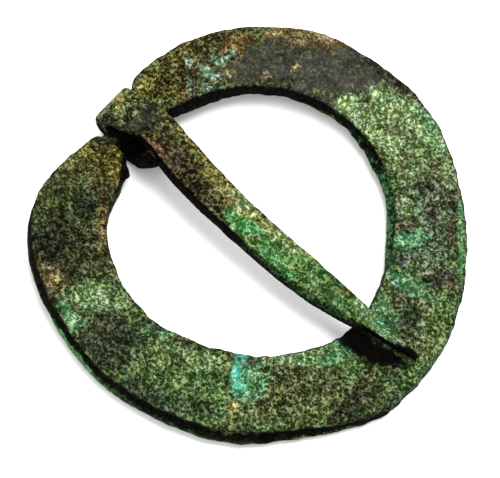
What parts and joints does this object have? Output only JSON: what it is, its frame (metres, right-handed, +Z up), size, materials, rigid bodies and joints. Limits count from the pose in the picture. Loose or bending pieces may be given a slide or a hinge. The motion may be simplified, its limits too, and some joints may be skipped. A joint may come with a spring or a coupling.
{
  "type": "annular brooch",
  "caption": "Flat ring brooch with a broad tapering pin that swings on the ring's narrowed neck and closes across it to catch cloth.",
  "frame": {"origin": "on the surface that the brooch lies on, under the middle of its outline", "axes": "+X runs from the neck and the pin's rolled head towards the pin's tip, +Z is up, the side that the pin lies on, and +Y is to the left when looking along +X"},
  "size_m": [0.0366, 0.0386, 0.0047],
  "materials": {
    "ring_bronze": "rough granular patina, green, brown and near black",
    "pin_bronze": "patina, dark brown to teal and olive green, smoother than the ring"
  },
  "bodies": {
    "ring_body": {"ring": "ring_bronze"},
    "pin_body": {"pin": "pin_bronze"}
  },
  "joints": [
    {"name": "pin_swing", "type": "hinge", "parent": "ring_body", "child": "pin_body", "pos_m": [-0.01588, 0.00017, 0.0024], "axis": [0, -1, 0], "range_deg": [0, 352]}
  ]
}
